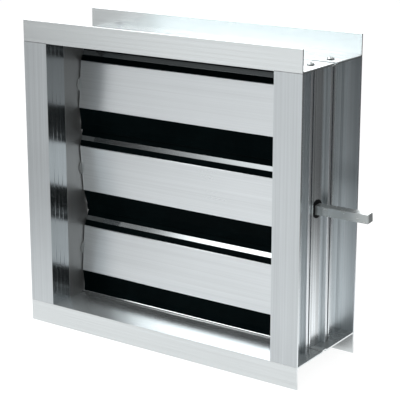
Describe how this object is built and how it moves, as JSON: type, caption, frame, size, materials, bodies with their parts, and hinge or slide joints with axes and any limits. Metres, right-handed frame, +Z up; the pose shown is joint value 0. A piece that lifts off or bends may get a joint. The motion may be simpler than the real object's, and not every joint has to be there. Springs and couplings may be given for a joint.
{
  "type": "volume control damper",
  "caption": "Rectangular duct damper: flanged aluminium channel frame, opposed aerofoil blades with black edge profiles, geared inside the side frame and turned by a square shaft.",
  "frame": {"origin": "centre of the airway, in the plane of the front flange", "axes": "+X across the duct to the drive side, +Y along the air flow from the front flange to the rear flange, +Z up"},
  "size_m": [0.414, 0.125, 0.36],
  "materials": {
    "frame_aluminium": "mill-finish extrusion, fine lengthwise lines",
    "blade_aluminium": "mill-finish extrusion, fine lengthwise lines",
    "polished_aluminium": "bright, smooth",
    "black_edge_profile": "satin black",
    "black_nylon": "matt, moulded",
    "grey_nylon": "satin, moulded",
    "gear_plastic": "matt, moulded",
    "zinc_plated_steel": "bright zinc plate"
  },
  "bodies": {
    "frame": {"top_channel": "frame_aluminium", "bottom_channel": "frame_aluminium", "right_side_frame": "frame_aluminium", "left_side_frame": "frame_aluminium", "right_inner_cover": "frame_aluminium", "left_inner_cover": "frame_aluminium", "top_frame_screws": "zinc_plated_steel", "bottom_frame_screws": "zinc_plated_steel"},
    "blade_1": {"blade_1_body": "blade_aluminium", "blade_1_upper_edge_profile": "black_edge_profile", "blade_1_lower_edge_profile": "black_edge_profile", "blade_1_upper_clamping_strip": "polished_aluminium", "blade_1_lower_clamping_strip": "polished_aluminium", "blade_1_right_end_cap": "blade_aluminium", "blade_1_left_end_cap": "blade_aluminium", "blade_1_left_stub_shaft": "zinc_plated_steel", "blade_1_gear": "gear_plastic", "blade_1_bearing_bushes": "grey_nylon", "blade_1_right_stub_shaft": "zinc_plated_steel"},
    "blade_2": {"blade_2_body": "blade_aluminium", "blade_2_upper_edge_profile": "black_edge_profile", "blade_2_lower_edge_profile": "black_edge_profile", "blade_2_upper_clamping_strip": "polished_aluminium", "blade_2_lower_clamping_strip": "polished_aluminium", "blade_2_right_end_cap": "blade_aluminium", "blade_2_left_end_cap": "blade_aluminium", "blade_2_left_stub_shaft": "zinc_plated_steel", "blade_2_gear": "gear_plastic", "blade_2_bearing_bushes": "grey_nylon", "drive_shaft": "zinc_plated_steel", "drive_shaft_bush": "black_nylon"},
    "blade_3": {"blade_3_body": "blade_aluminium", "blade_3_upper_edge_profile": "black_edge_profile", "blade_3_lower_edge_profile": "black_edge_profile", "blade_3_upper_clamping_strip": "polished_aluminium", "blade_3_lower_clamping_strip": "polished_aluminium", "blade_3_right_end_cap": "blade_aluminium", "blade_3_left_end_cap": "blade_aluminium", "blade_3_left_stub_shaft": "zinc_plated_steel", "blade_3_gear": "gear_plastic", "blade_3_bearing_bushes": "grey_nylon", "blade_3_right_stub_shaft": "zinc_plated_steel"}
  },
  "joints": [
    {"name": "blade_2_hinge", "type": "hinge", "parent": "frame", "child": "blade_2", "pos_m": [0, 0.0625, 0], "axis": [1, 0, 0], "range_deg": [0, 85]},
    {"name": "blade_1_hinge", "type": "hinge", "parent": "frame", "child": "blade_1", "pos_m": [0, 0.0625, 0.1], "axis": [1, 0, 0], "range_deg": [-85, 0]},
    {"name": "blade_3_hinge", "type": "hinge", "parent": "frame", "child": "blade_3", "pos_m": [0, 0.0625, -0.1], "axis": [1, 0, 0], "range_deg": [-85, 0]}
  ],
  "couplings": [
    {"joint": "blade_1_hinge", "follows": "blade_2_hinge", "ratio": -1},
    {"joint": "blade_3_hinge", "follows": "blade_2_hinge", "ratio": -1}
  ]
}
